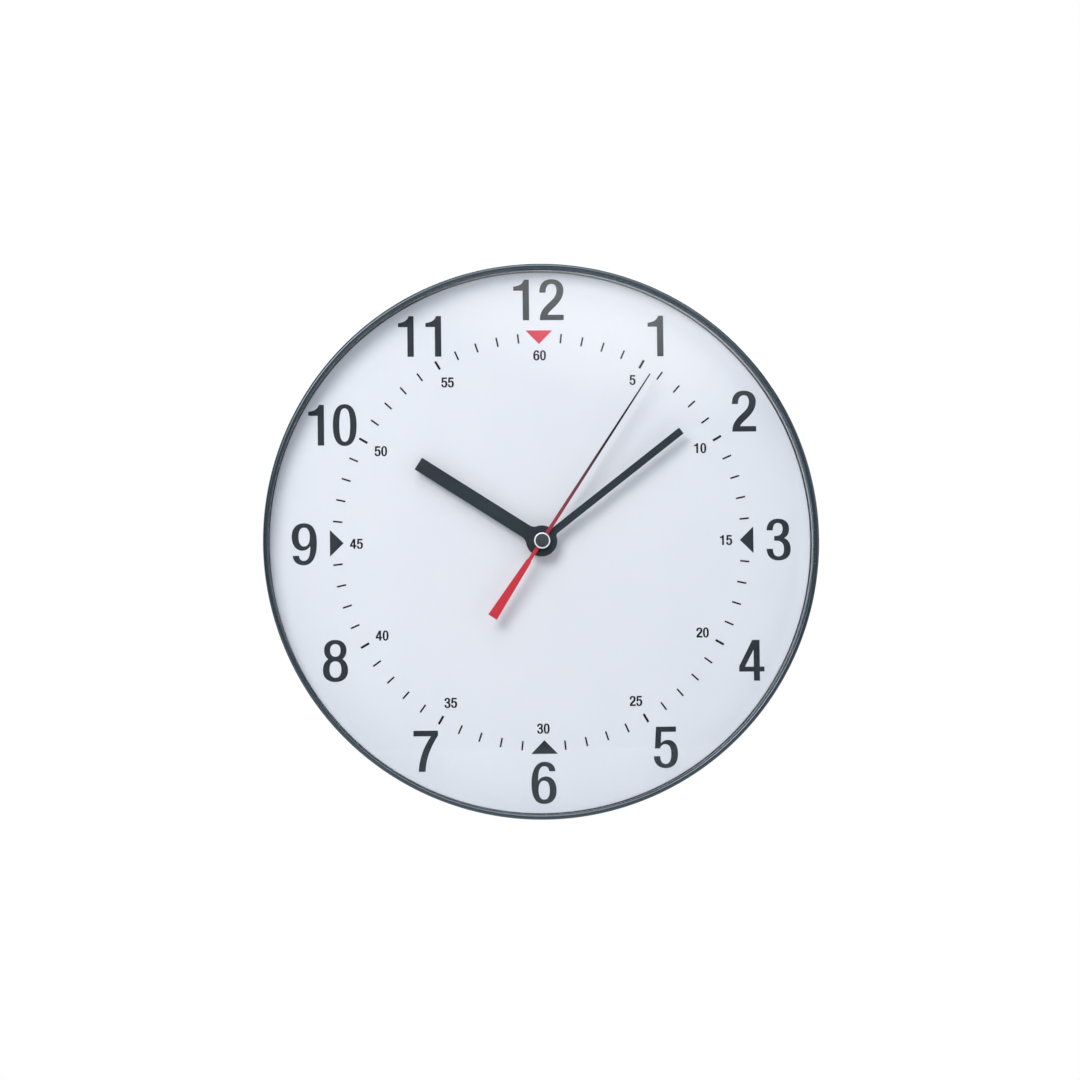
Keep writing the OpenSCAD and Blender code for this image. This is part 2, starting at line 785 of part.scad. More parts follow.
module battery_cell() {
    button_r = 2.75;
    button_h = 1.2;
    tip_x = contact_x - strip_t - press;
    color([0.35, 0.37, 0.4]) upright() translate([tip_x, cell_y, cell_z]) rotate([0, -90, 0])
        rotate_extrude() {
            square([button_r, button_h + 1]);
            translate([0, button_h]) square([cell_r - 0.4, 0.5]);
            translate([0, button_h + 0.4]) square([cell_r, cell_l - button_h - 0.6]);
            translate([0, cell_l - 1]) square([cell_r - 1.2, 1]);
        }
}

// Train

module rotor_pinion() {
    color(white_plastic) upright() at(rotor_at) {
        rod(rotor_pivot, rear_in - 0.3, plate_top - 0.2);
        pinion(rotor_n, inter_m, inter_level - 0.4, inter_level + wheel_t + 0.4);
        rod(1.2, inter_level + wheel_t + 0.4 - eps, stator_z + 3.2);
    }
}

module rotor_magnet() {
    color([0.3, 0.3, 0.32]) upright() at(rotor_at) pipe(2.6, 1.2 + press, stator_z - 1, stator_z + 2.2);
}

module intermediate_wheel() {
    phase = meshed(rotor_n, 0, inter_n, rotor_dir + 180);
    color(white_plastic) upright() at(inter_at) difference() {
        union() {
            wheel(inter_n, inter_m, phase, inter_level, 2.4, 6);
            pinion(inter_pin_n, seconds_m, inter_level + wheel_t - eps, seconds_level + wheel_t + 0.25);
        }
        rod(inter_post + run, 0, seat_z);
    }
}

module seconds_wheel() {
    phase = meshed(inter_pin_n, 0, seconds_n, inter_dir + 180);
    color([0.85, 0.75, 0.5]) upright() difference() {
        union() {
            wheel(seconds_n, seconds_m, phase, seconds_level, 2.2, 6);
            pinion(seconds_pin_n, third_m, seconds_level + wheel_t - eps, third_level + wheel_t + 0.15);
        }
        rod(arbor_r + press, 0, seat_z);
    }
}

module seconds_arbor() {
    color(steel_colour) upright() rod(arbor_r, rear_in - 0.4, cap_z + 0.3);
}

module third_wheel() {
    phase = meshed(seconds_pin_n, 0, third_n, third_dir);
    color(white_plastic) upright() at(third_at) {
        wheel(third_n, third_m, phase, third_level, 2.4, 6);
        rod(0.8, inter_level - 0.2, third_level + eps);
        rod(third_pivot, rear_in - 0.4, plate_top - 0.2);
        pinion(third_pin_n, minute_m, third_level + wheel_t - eps, minute_level + wheel_t + 0.3);
    }
}

module minute_wheel() {
    phase = meshed(third_pin_n, 0, minute_n, third_dir + 180);
    color([0.85, 0.75, 0.5]) upright() difference() {
        wheel(minute_n, minute_m, phase, minute_level, 4.6, 6);
        rod(minute_tube_r + run, 0, seat_z);
    }
}

minute_collar = minute_level - 0.55;

module minute_arbor() {
    color(white_plastic) upright() difference() {
        union() {
            rod(minute_tube_r, minute_collar, minute_z + hand_t + 0.3);
            rod(3.2, minute_collar, minute_level - 0.05);
            rod(minute_neck, plate_rear - 0.15, motion_level);
            pinion(minute_pin_n, motion_m, motion_level - 0.1, motion_level + wheel_t + 0.3);
        }
        rod(arbor_r + run, 0, lens_apex);
    }
}

// Dished spring that presses the minute wheel against its collar and slips when the hands are set
module clutch_spring() {
    z = minute_level + wheel_t + 0.04;
    top = plate_rear - 0.19;
    color(steel_colour) upright() rotate_extrude() polygon([
        [minute_tube_r + press, top - 0.2], [2.6, top - 0.2], [4.2, z], [4.2, z + 0.2], [2.6, top],
        [minute_tube_r + press, top]]);
}

module motion_wheel() {
    phase = meshed(minute_pin_n, 0, motion_n, motion_dir);
    color(white_plastic) upright() at(motion_at) {
        wheel(motion_n, motion_m, phase, motion_level, 3.4, 6);
        pinion(motion_pin_n, hour_m, motion_level + wheel_t - eps, hour_level + wheel_t + 0.2);
        rod(motion_r, move_rear - knob_h + 0.8, motion_level + eps);
        rod(0.6, motion_level, front_in + 0.5);
    }
}

module motion_bush() {
    color(brass_colour) upright() at(motion_at) pipe(bush_r, motion_r + run, move_rear - 0.3, rear_in + 0.7);
}

// Outline of the knob's grip, with flat-topped ridges of the given height
function grip_points(ridges, r, height) =
    [for (i = [0 : ridges - 1]) for (step = [[0.26, height], [0.36, 0], [0.64, 0], [0.74, height]])
        let (a = 360 / ridges * (i + step[0]))
        (r - step[1]) * [cos(a), sin(a)]];

module setting_knob() {
    top = move_rear - 0.6;
    low = top - knob_h;
    lead = 0.5; // plain rim behind the grip
    color(white_plastic) upright() at(motion_at) difference() {
        union() {
            rod(knob_d / 2 - 0.6, low, top);
            translate([0, 0, low + lead]) linear_extrude(knob_h - lead)
                polygon(grip_points(20, knob_d / 2, 0.4));
        }
        rod(motion_r + press, move_rear - knob_h + 0.78, top + 1);
        rod(knob_d / 2 - 1.4, low - 1, low + lead);
    }
}

module hour_washer() {
    color(steel_colour) upright() pipe(4.4, hour_tube_r + run, washer_level + 0.06, front_in - 0.06);
}

module hour_wheel() {
    phase = meshed(motion_pin_n, 0, hour_n, motion_dir + 180);
    color(white_plastic) upright() difference() {
        union() {
            wheel(hour_n, hour_m, phase, hour_level, 4.6, 6);
            rod(hour_tube_r, hour_level, hour_z + hand_t + 0.2);
        }
        rod(minute_tube_r + run, 0, lens_apex);
    }
}

// Hands

// Bar of length l and width w, flared into the round boss by fillets of radius f on both sides
module hand_plate(l, w, f, angle, z, hole) {
    r = boss_d / 2;
    rise = sqrt(pow(r + f, 2) - pow(w / 2 + f, 2));
    rotate([0, 0, -angle]) translate([0, 0, z]) difference() {
        union() {
            translate([-w / 2, 0, 0]) cube([w, l, hand_t]);
            cylinder(r = r, h = hand_t);
            for (side = [0, 1]) mirror([side, 0, 0]) linear_extrude(hand_t) difference() {
                polygon([[0, 0], [0, rise], [w / 2 + f, rise]]);
                translate([w / 2 + f, rise]) circle(r = f);
            }
        }
        translate([0, 0, -1]) cylinder(r = hole, h = hand_t + 2);
    }
}

module collet(r, z, top) { pipe(r + 1.2, r + press, z - collet_h, top); }

module hour_hand() {
    hole = hour_tube_r + press;
    color(charcoal) upright() hand_plate(hour_l, hour_w, 5, hour_angle, hour_z, hole);
}

module hour_hand_collet() { color(brass_colour) upright() collet(hour_tube_r, hour_z, hour_z); }

module minute_hand() {
    hole = minute_tube_r + press;
    color(charcoal) upright() hand_plate(minute_l, minute_w, 2, minute_angle, minute_z, hole);
}

module minute_hand_collet() { color(brass_colour) upright() collet(minute_tube_r, minute_z, minute_z); }

module second_hand() {
    hub_r = 2.6;
    neck = 13.2; // where the tail steps out to its blade
    neck_w = 2;
    shoulder_w = 2.9;
    color(red) upright() rotate([0, 0, -second_angle]) translate([0, 0, second_z]) difference() {
        union() {
            linear_extrude(second_t) polygon([
                [-second_w / 2, 0], [-second_tip_w / 2, second_l], [second_tip_w / 2, second_l],
                [second_w / 2, 0], [neck_w / 2, -neck + 1], [shoulder_w / 2, -neck], [tail_w / 2, -tail_l],
                [-tail_w / 2, -tail_l], [-shoulder_w / 2, -neck], [-neck_w / 2, -neck + 1]]);
            cylinder(r = hub_r, h = second_t);
        }
        translate([0, 0, -1]) cylinder(r = arbor_r + press, h = second_t + 2);
    }
}

module second_hand_collet() { color(brass_colour) upright() collet(arbor_r, second_z, second_z); }

cap_r = cap_d / 2;
inlay_r = cap_r - cap_ring;

module hand_cap() {
    edge = 0.45;
    color(steel_colour) upright() difference() {
        rotate_extrude() {
            translate([0, cap_z]) square([cap_r, cap_h - edge]);
            translate([0, cap_z]) square([cap_r - edge, cap_h]);
            translate([cap_r - edge, cap_z + cap_h - edge]) circle(r = edge);
        }
        rod(arbor_r + press, cap_z - 1, cap_z + 0.6);
        rod(inlay_r + press, cap_z + cap_h - 0.5, cap_z + cap_h + 1);
    }
}

module cap_inlay() {
    color(charcoal) upright() rod(inlay_r, cap_z + cap_h - 0.5, cap_z + cap_h - 0.1);
}

case();
bezel();
lens();
spacer_ring();
dial();
rubber_washer();
dial_washer();
dial_nut();
movement_front();
middle_plate();
rear_cover();
circuit_board();
chip();
quartz_crystal();
coil_bobbin();
coil_winding();
stator();
positive_contact();
negative_contact();
battery_cell();
rotor_magnet();
rotor_pinion();
intermediate_wheel();
seconds_wheel();
seconds_arbor();
second_hand();
second_hand_collet();
hand_cap();
cap_inlay();
third_wheel();
minute_wheel();
minute_arbor();
clutch_spring();
minute_hand();
minute_hand_collet();
motion_bush();
motion_wheel();
setting_knob();
hour_washer();
hour_wheel();
hour_hand();
hour_hand_collet();
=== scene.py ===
import math

import bmesh
import bpy
from mathutils import Matrix, Vector


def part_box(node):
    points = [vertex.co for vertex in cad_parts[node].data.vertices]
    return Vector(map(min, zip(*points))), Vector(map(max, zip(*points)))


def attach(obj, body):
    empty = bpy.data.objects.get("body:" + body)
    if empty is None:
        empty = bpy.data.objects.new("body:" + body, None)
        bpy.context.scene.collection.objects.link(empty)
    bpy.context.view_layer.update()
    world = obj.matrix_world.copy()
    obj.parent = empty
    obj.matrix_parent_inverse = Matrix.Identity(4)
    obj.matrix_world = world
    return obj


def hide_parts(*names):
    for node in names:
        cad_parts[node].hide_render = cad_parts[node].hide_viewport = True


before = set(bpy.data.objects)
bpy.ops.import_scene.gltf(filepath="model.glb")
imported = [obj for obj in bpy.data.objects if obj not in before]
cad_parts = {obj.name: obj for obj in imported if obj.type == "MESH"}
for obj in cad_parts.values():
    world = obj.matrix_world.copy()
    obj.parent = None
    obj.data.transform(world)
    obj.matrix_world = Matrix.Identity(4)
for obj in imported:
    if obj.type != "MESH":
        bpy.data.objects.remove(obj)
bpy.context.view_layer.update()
scene = bpy.context.scene
scene.view_settings.view_transform = "Standard"

MM = 0.001
ROOT = "case_and_movement"

# Places that the CAD gives: the wall is y = 0 and the face looks along -y
DIAL_FRONT = -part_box("dial")[0].y
BEZEL_FRONT, BEZEL_REAR = -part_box("bezel")[0].y, -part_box("bezel")[1].y
BEZEL_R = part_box("bezel")[1].x
LENS_APEX, LENS_REAR = -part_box("lens")[0].y, -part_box("lens")[1].y
LENS_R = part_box("lens")[1].x

# Sections of the turned rings, in metres, as in the CAD
BEZEL_WALL = 0.0018
LIP_W, LIP_T = 0.003, 0.0022
CLIPS, CLIP_L, CLIP_H, CLIP_T = 8, 0.014, 0.002, 0.0012
CLIP_UP = 0.0022
# The clips' blunt inner edge, and how far they are sunk in the wall so that they join it
CLIP_EDGE, CLIP_SUNK = 0.0004, 1e-5
FLANGE_T = 0.0015
LENS_T = 0.002
DOME_EDGE, DOME_GAP = 0.0006, 0.0008
DOME_R = BEZEL_R - LIP_W - DOME_GAP
RING_FOOT_W, RING_FOOT_H, RING_FOOT_STEP = 0.0015, 0.0007, 0.0006
# The ring rests low and left in its play inside the bezel: right and up
RING_SAG = (-0.00014, -0.00024)

# Sizes of the dial's print, in mm
NUMERAL_H = 22.1
NUMERAL_R = 129.3
MINUTE_H = 5.2
MINUTE_R = 100.1
TICK_IN, TICK_OUT = 108.2, 113.3
TICK_W, FIVE_TICK_W = 0.92, 1.25
MARKER_BASE_W, MARKER_BASE_R, MARKER_TIP_R = 14.5, 114.7, 107.3
INK_T = 0.04
INK_SUNK = 0.01
# How much bolder than the hour numerals the small ones are, on every side of a stroke
MINUTE_BOLD = 0.11

# Where the photographed print leaves the circle: right and up from each numeral's place, in mm,
# then right for all the small print, and for the dark markers
NUMERAL_NUDGE = {
    12: (0.0, 2.0), 1: (-1.2, -0.7), 2: (-0.9, 5.3), 3: (-0.3, 0.0), 4: (1.5, -0.7), 5: (1.6, 0.2),
    6: (0.1, -1.0), 7: (1.2, -0.6), 8: (0.3, 1.2), 9: (1.4, -0.4), 10: (-0.2, -0.7), 11: (0.0, -0.2),
}
MINUTE_NUDGE = {60: (0, 1.0), 5: (0.3, 0.7), 30: (-0.2, -1.0), 45: (0, -0.4), 50: (0.2, -0.4)}
PRINT_RIGHT = 0.3
DARK_MARKERS_RIGHT = 0.6
# Space between the digits of the two-digit numerals, in percent of the digit height
NUMERAL_GAP = {10: 21.4, 11: 29.0, 12: 25.4}
MINUTE_GAP = 9.0
MINUTE_GAP_AFTER_1 = 27.0

# The second hand's angle from twelve, and its colours by distance from the axis towards the tip: red
# lacquer, darkened towards the thin tip by painted shade
SECOND_ANGLE = 33.5
SECOND_RED_AND_PAINTED_SHADE = [
    (-14, (0.60, 0.035, 0.055)), (-4, (0.50, 0.03, 0.055)), (6, (0.40, 0.03, 0.055)),
    (20, (0.27, 0.03, 0.055)), (36, (0.16, 0.03, 0.05)), (50, (0.07, 0.022, 0.036)),
    (66, (0.02, 0.005, 0.012)), (108, (0.005, 0.004, 0.006)),
]
# The cap's colours by distance from the axis, in mm: shaded step, bright ring, shaded outer bevel
CAP_SHADE, CAP_SILVER = (0.02, 0.027, 0.033), (0.88, 0.89, 0.9)
CAP_RING_IN, CAP_RING_OUT, CAP_REACH = 3.6, 4.35, 6.0

# The camera stands left of the face and below it, far away, and is turned a little. It aims at
# a point of the bezel's middle depth, that far right of the axis and above it.
CAMERA_LEFT, CAMERA_BELOW, CAMERA_ROLL = 3.0, 3.0, 0.64
CAMERA_DISTANCE = 2.2
AIM_DEPTH, AIM_RIGHT, AIM_UP = 0.031, -0.00083, 0.00062
PHOTO_SIDE = 1080
RIM_R_PX = 277.87
SENSOR = 36.0

# Light from all round
AMBIENT, AMBIENT_COLOUR = 0.33, (0.88, 0.97, 1.06)
# What gloss sees: a dim room in front of the object, which turns to white behind it as the
# direction's y goes from the first of these values to the second
ROOM_DIM, ROOM_COLOUR = 0.05, (0.98, 0.99, 1.0)
ROOM_WHITE = (-0.02, 0.35)
# A pale glow that only gloss sees, from this side in front of the object, and the cosines to that
# side between which it grows from nothing to its full strength
GLOW_FROM = (0.196, -0.819, 0.539)
GLOW_RANGE = (0.925, 0.972)
GLOW = 3.8
# Each lamp's name, place, width, power and colour. They aim at the frame's origin.
LAMPS = [
    ("key", (-0.708, -1.36, 0.844), 1.0, 19.2, (1.0, 0.985, 0.955)),
    ("side", (1.79, -1.05, 0.32), 1.1, 4.8, (1, 1, 1)),
    ("top", (0.0, -1.05, 1.82), 1.0, 9.4, (1, 1, 1)),
    ("low", (-1.2, -0.6, -0.45), 0.5, 1.0, (1, 1, 1)),
    ("back", (0.3, 1.6, 0.9), 1.2, 22, (1, 1, 1)),
]
FLOOR_HALF, FLOOR_LEVEL = 3.0, -0.62


# Digit outlines

# Points are percents of the digit height. Two numbers are a corner, six are a cubic curve
# to a new point: its two handles and its end.
SIX_W = 61.3
SIX = [
    [(0, 47), (0, 16, 9, -1.4, 31, -1.4), (50, -1.4, 61.3, 11, 61.3, 31.5),
     (61.3, 52, 51, 65.6, 35.5, 65.6), (27.5, 65.6, 20.5, 61.5, 16.3, 54.5),
     (16.3, 78, 20.5, 90.5, 32, 90.5), (38.8, 90.5, 43, 86, 43.8, 78), (59, 78),
     (58, 92.5, 48, 101.3, 32.5, 101.3), (10.5, 101.3, 0, 80, 0, 47)],
    [(31, 9.2), (22, 9.2, 17.2, 17.5, 17.2, 32), (17.2, 46.5, 22, 55.2, 31, 55.2),
     (40, 55.2, 44.6, 46.5, 44.6, 32), (44.6, 17.5, 40, 9.2, 31, 9.2)],
]


def upside_down(glyph, width):
    """The glyph turned by half a turn, as a nine is made from a six."""
    def flip(point):
        return tuple((width, 100)[i % 2] - v for i, v in enumerate(point))
    return [[flip(point) for point in contour] for contour in glyph]


DIGITS = {
    "0": [
        [(29, -1.3), (9.5, -1.3, 0, 17, 0, 50), (0, 83, 9.5, 101.3, 29, 101.3),
         (48.5, 101.3, 58.3, 83, 58.3, 50), (58.3, 17, 48.5, -1.3, 29, -1.3)],
        [(29, 9), (20, 9, 16, 21, 16, 50), (16, 79, 20, 91, 29, 91),
         (38, 91, 42.3, 79, 42.3, 50), (42.3, 21, 38, 9, 29, 9)],
    ],
    "1": [[(22.8, 0), (38.4, 0), (38.4, 100), (26, 100), (24, 92, 17, 84.5, 0, 83), (0, 73), (22.8, 73)]],
    "2": [
        [(0.5, 0), (59.5, 0), (59.5, 13.3), (20, 13.3), (25, 27, 59.5, 42, 59.5, 74),
         (59.5, 90, 48, 100.9, 30, 100.9), (11, 100.9, 0.3, 89, 0.3, 68), (15.5, 68),
         (15.5, 81, 20.5, 89.5, 30, 89.5), (38.5, 89.5, 42.5, 83, 42.5, 73),
         (42.5, 44, 0.5, 40, 0.5, 0)],
    ],
    "3": [
        [(0, 27.5), (0, 10, 11, -1.3, 29, -1.3), (48, -1.3, 59.3, 9, 59.3, 27),
         (59.3, 40, 54, 49.5, 43.5, 53.5), (51.5, 58, 56, 66, 56, 77),
         (56, 92, 45.5, 101.3, 28.5, 101.3), (11.5, 101.3, 0.8, 91, 0.5, 72.7), (15.8, 72.7),
         (16, 84, 20, 90.8, 28, 90.8), (36, 90.8, 40, 85.5, 40, 76.5), (40, 64, 33, 59, 22, 59),
         (19, 59), (19, 47.3), (23, 47.3), (36, 47.3, 42.7, 41, 42.7, 27.5),
         (42.7, 15, 38, 8.7, 29, 8.7), (20, 8.7, 15.5, 15, 15.5, 27.5)],
    ],
    "4": [
        [(36, 0), (51, 0), (51, 22.5), (62.3, 22.5), (62.3, 34.5), (51, 34.5), (51, 100), (33, 100),
         (0, 35.5), (0, 22.5), (36, 22.5)],
        [(36, 34.5), (36, 76), (14.5, 34.5)],
    ],
    "5": [
        [(0, 28), (0, 10, 11, -1.3, 29.5, -1.3), (49, -1.3, 59.3, 12, 59.3, 34.5),
         (59.3, 55, 50, 67.5, 35, 67.5), (27.5, 67.5, 21.5, 64.5, 17.5, 59.5), (19, 87.3), (55, 87.3),
         (55, 100), (6, 100), (2.6, 46.8), (15.3, 46.8), (17.5, 53.5, 22, 57.2, 28.5, 57.2),
         (37.5, 57.2, 42.7, 49.5, 42.7, 34.5), (42.7, 18, 38, 8.9, 29, 8.9),
         (20.5, 8.9, 15.5, 16, 15.5, 28)],
    ],
    "6": SIX,
    "7": [
        [(12.3, 0), (29, 0), (30, 36, 46, 66, 60, 88), (60, 100), (0, 100), (0, 86.3), (43, 86.3),
         (27, 64, 13.5, 34, 12.3, 0)],
    ],
    "8": [
        [(30.6, -1.4), (50, -1.4, 61.3, 9.5, 61.3, 27), (61.3, 39.5, 56.5, 48.5, 48, 54.3),
         (54.5, 59.5, 57.8, 66.5, 57.8, 76), (57.8, 91.5, 47, 101.3, 30.6, 101.3),
         (14.2, 101.3, 3.4, 91.5, 3.4, 76), (3.4, 66.5, 6.7, 59.5, 13.2, 54.3),
         (4.7, 48.5, 0, 39.5, 0, 27), (0, 9.5, 11, -1.4, 30.6, -1.4)],
        [(30.6, 60.3), (22.5, 60.3, 18, 66.5, 18, 75.5), (18, 84.8, 22.5, 91, 30.6, 91),
         (38.7, 91, 43.2, 84.8, 43.2, 75.5), (43.2, 66.5, 38.7, 60.3, 30.6, 60.3)],
        [(30.6, 9), (21, 9, 16.2, 17, 16.2, 29), (16.2, 41.5, 21, 49, 30.6, 49),
         (40.2, 49, 45, 41.5, 45, 29), (45, 17, 40.2, 9, 30.6, 9)],
    ],
    "9": upside_down(SIX, SIX_W),
}
CURVE_STEPS = 12


def sampled(contour):
    """A contour's corners and curves as plain points."""
    points = [contour[0]]
    for item in contour[1:]:
        if len(item) == 2:
            points.append(item)
            continue
        start, one, two, end = points[-1], item[0:2], item[2:4], item[4:6]
        for step in range(1, CURVE_STEPS + 1):
            t = step / CURVE_STEPS
            weights = ((1 - t) ** 3, 3 * t * (1 - t) ** 2, 3 * t * t * (1 - t), t ** 3)
            points.append(tuple(
                sum(w * p[axis] for w, p in zip(weights, (start, one, two, end))) for axis in (0, 1)))
    if points[-1] == points[0]:
        points.pop()
    return points


def number_contours(text, height, gap):
    """Contours of a number in mm, centred on its own middle. gap(digit) is the space after a digit."""
    contours, right = [], 0.0
    for place, digit in enumerate(text):
        shape = [sampled(contour) for contour in DIGITS[digit]]
        width = max(x for contour in shape for x, y in contour)
        contours += [[(x + right, y) for x, y in contour] for contour in shape]
        right += width + (gap(digit) if place < len(text) - 1 else 0)
    scale = height / 100
    return [[((x - right / 2) * scale, (y - 50) * scale) for x, y in contour] for contour in contours]


def moved(contours, right, up):
    return [[(x + right, y + up) for x, y in contour] for contour in contours]


def on_dial(radius, degrees):
    """Right and up, in mm, of a point at that radius and clockwise angle from twelve."""
    a = math.radians(degrees)
    return radius * math.sin(a), radius * math.cos(a)


def turned(contours, degrees):
    a = math.radians(degrees)
    c, s = math.cos(a), math.sin(a)
    return [[(x * c + y * s, y * c - x * s) for x, y in contour] for contour in contours]


# Materials

def new_material(name):
    mat = bpy.data.materials.new(name)
    mat.use_nodes = True
    nodes = mat.node_tree.nodes
    return mat, nodes, mat.node_tree.links, nodes["Principled BSDF"]


def own_place(nodes):
    """The point in the piece's own metres."""
    return nodes.new("ShaderNodeTexCoord").outputs["Object"]


def set_or_link(links, socket, value):
    """A number or colour goes on the socket, and another socket is linked to it."""
    if isinstance(value, tuple):
        socket.default_value = (*value, 1)
    elif isinstance(value, (int, float)):
        socket.default_value = value
    else:
        links.new(value, socket)


def noise(nodes, links, scale, detail=4.0, stretch=(1, 1, 1)):
    """Noise in the piece's own metres. Its output runs about 0.3 to 0.7."""
    mapping = nodes.new("ShaderNodeMapping")
    mapping.inputs["Scale"].default_value = stretch
    texture = nodes.new("ShaderNodeTexNoise")
    texture.inputs["Scale"].default_value = scale
    texture.inputs["Detail"].default_value = detail
    links.new(own_place(nodes), mapping.inputs["Vector"])
    links.new(mapping.outputs["Vector"], texture.inputs["Vector"])
    return texture.outputs["Fac"]


def mapped(nodes, links, value, low, high, source=(0.3, 0.7)):
    node = nodes.new("ShaderNodeMapRange")
    node.inputs["From Min"].default_value, node.inputs["From Max"].default_value = source
    node.inputs["To Min"].default_value, node.inputs["To Max"].default_value = low, high
    links.new(value, node.inputs["Value"])
    return node.outputs["Result"]


def mixed(nodes, links, share, one, two):
    """Colour between one and two, at a share from 0 to 1. Each can be a socket."""
    node = nodes.new("ShaderNodeMix")
    node.data_type = "RGBA"
    for index, value in ((0, share), (6, one), (7, two)):
        set_or_link(links, node.inputs[index], value)
    return node.outputs[2]


def combined(nodes, links, operation, one, two):
    """Result of a sum, product or the like of two values. Each can be a number or a socket."""
    node = nodes.new("ShaderNodeMath")
    node.operation = operation
    set_or_link(links, node.inputs[0], one)
    set_or_link(links, node.inputs[1], two)
    return node.outputs["Value"]


def along(nodes, links, vector, direction):
    """How far a vector goes in a direction."""
    node = nodes.new("ShaderNodeVectorMath")
    node.operation = "DOT_PRODUCT"
    node.inputs[1].default_value = direction
    links.new(vector, node.inputs[0])
    return node.outputs["Value"]


def ramped(nodes, links, share, stops, stepped=True):
    """Colour at a share from 0 to 1 of a ramp, from its (place, colour) stops."""
    node = nodes.new("ShaderNodeValToRGB")
    ramp = node.color_ramp
    ramp.interpolation = "CONSTANT" if stepped else "LINEAR"
    while len(ramp.elements) < len(stops):
        ramp.elements.new(0.5)
    for element, (place, colour) in zip(ramp.elements, stops):
        element.position = place
        element.color = (*colour, 1)
    links.new(share, node.inputs["Fac"])
    return node.outputs["Color"]


def blended(nodes, links, share, one, two):
    """Shader between one and two, from their sockets."""
    node = nodes.new("ShaderNodeMixShader")
    for socket, value in zip(node.inputs, (share, one, two)):
        links.new(value, socket)
    return node.outputs["Shader"]


def scaled(colour, by):
    return tuple(min(1.0, c * by) for c in colour)


def bumped(nodes, links, shader, height, depth):
    """Bump of depth metres on a shader, from a socket."""
    node = nodes.new("ShaderNodeBump")
    node.inputs["Distance"].default_value = depth
    node.inputs["Strength"].default_value = 1.0
    links.new(height, node.inputs["Height"])
    links.new(node.outputs["Normal"], shader.inputs["Normal"])


def surface(name, colour, roughness, metallic=0.0, drift=0.06, drift_scale=45, rough_drift=0.06,
            grain=2e-5, grain_scale=1800, stretch=(1, 1, 1), coat=0.0, specular=0.5, shine=(1, 1, 1)):
    """A solid finish: its colour and gloss drift a little and its surface has a fine grain."""
    mat, nodes, links, shader = new_material(name)
    slow = noise(nodes, links, drift_scale)
    share = mapped(nodes, links, slow, 0, 1)
    tone = mixed(nodes, links, share, scaled(colour, 1 - drift), scaled(colour, 1 + drift))
    links.new(tone, shader.inputs["Base Color"])
    fine = noise(nodes, links, grain_scale, 3.0, stretch)
    gloss = mapped(nodes, links, fine, max(0.02, roughness - rough_drift), roughness + rough_drift)
    links.new(gloss, shader.inputs["Roughness"])
    bumped(nodes, links, shader, fine, grain)
    shader.inputs["Metallic"].default_value = metallic
    shader.inputs["Specular IOR Level"].default_value = specular
    shader.inputs["Specular Tint"].default_value = (*shine, 1)
    shader.inputs["Coat Weight"].default_value = coat
    shader.inputs["Coat Roughness"].default_value = 0.12
    return mat


def lens_glass():
    """Clear glass whose face mirrors a little, more at a slant. The far face of each wall only lets
    light through, so that the dial behind stays as bright as it is."""
    mat, nodes, links, shader = new_material("lens_glass")
    nodes.remove(shader)
    clear = nodes.new("ShaderNodeBsdfTransparent")
    clear.inputs["Color"].default_value = (0.99, 0.995, 0.997, 1)
    gloss = nodes.new("ShaderNodeBsdfGlossy")
    gloss.inputs["Roughness"].default_value = 0.03
    gloss.inputs["Color"].default_value = (1.0, 0.98, 0.94, 1)
    edge = nodes.new("ShaderNodeFresnel")
    edge.inputs["IOR"].default_value = 1.49
    side = nodes.new("ShaderNodeNewGeometry")
    near = combined(nodes, links, "SUBTRACT", 1, side.outputs["Backfacing"])
    share = combined(nodes, links, "MULTIPLY", edge.outputs["Fac"], near)
    glass = blended(nodes, links, share, clear.outputs["BSDF"], gloss.outputs["BSDF"])
    links.new(glass, nodes["Material Output"].inputs["Surface"])
    return mat


SLATE = (0.016, 0.028, 0.040)
INK = (0.0225, 0.032, 0.041)
SMALL_INK = (0.003, 0.006, 0.009)
BRASS = (0.78, 0.55, 0.24)
STEEL = (0.62, 0.63, 0.65)
WHITE = (0.78, 0.77, 0.73)
# The dial's slow drift and its fine sparkle, each between two colours
DIAL_DRIFT = ((0.762, 0.778, 0.84), (0.79, 0.804, 0.86))
DIAL_SPARKLE = ((0.748, 0.764, 0.83), (0.815, 0.822, 0.878))


def dial_silver():
    """Silver-white print on sheet metal, with a very fine sparkle."""
    mat, nodes, links, shader = new_material("dial_silver")
    slow = mapped(nodes, links, noise(nodes, links, 22, 2.0), 0, 1)
    tone = mixed(nodes, links, slow, *DIAL_DRIFT)
    fine = noise(nodes, links, 900, 2.0)
    speck = mapped(nodes, links, fine, 0, 1, (0.2, 0.8))
    bright = mixed(nodes, links, speck, *DIAL_SPARKLE)
    links.new(mixed(nodes, links, 0.5, tone, bright), shader.inputs["Base Color"])
    shader.inputs["Metallic"].default_value = 0.0
    shader.inputs["Roughness"].default_value = 0.48
    bumped(nodes, links, shader, fine, 6e-6)
    return mat


def second_hand_red():
    """Red lacquer with painted shade that darkens it from the hub to the thin tip. The mesh lies at the
    photographed angle.
    """
    mat, nodes, links, shader = new_material("hand_red")
    a = math.radians(SECOND_ANGLE)
    out = along(nodes, links, own_place(nodes), (math.sin(a), 0, math.cos(a)))
    first, last = SECOND_RED_AND_PAINTED_SHADE[0][0], SECOND_RED_AND_PAINTED_SHADE[-1][0]
    share = mapped(nodes, links, out, 0, 1, (first * MM, last * MM))
    # The ramp's darker stops towards the tip are painted shade on the red
    stops = [((place - first) / (last - first), colour) for place, colour in SECOND_RED_AND_PAINTED_SHADE]
    links.new(ramped(nodes, links, share, stops, stepped=False), shader.inputs["Base Color"])
    fine = noise(nodes, links, 1800, 3.0)
    links.new(mapped(nodes, links, fine, 0.3, 0.42), shader.inputs["Roughness"])
    bumped(nodes, links, shader, fine, 1e-5)
    shader.inputs["Specular IOR Level"].default_value = 0.3
    return mat


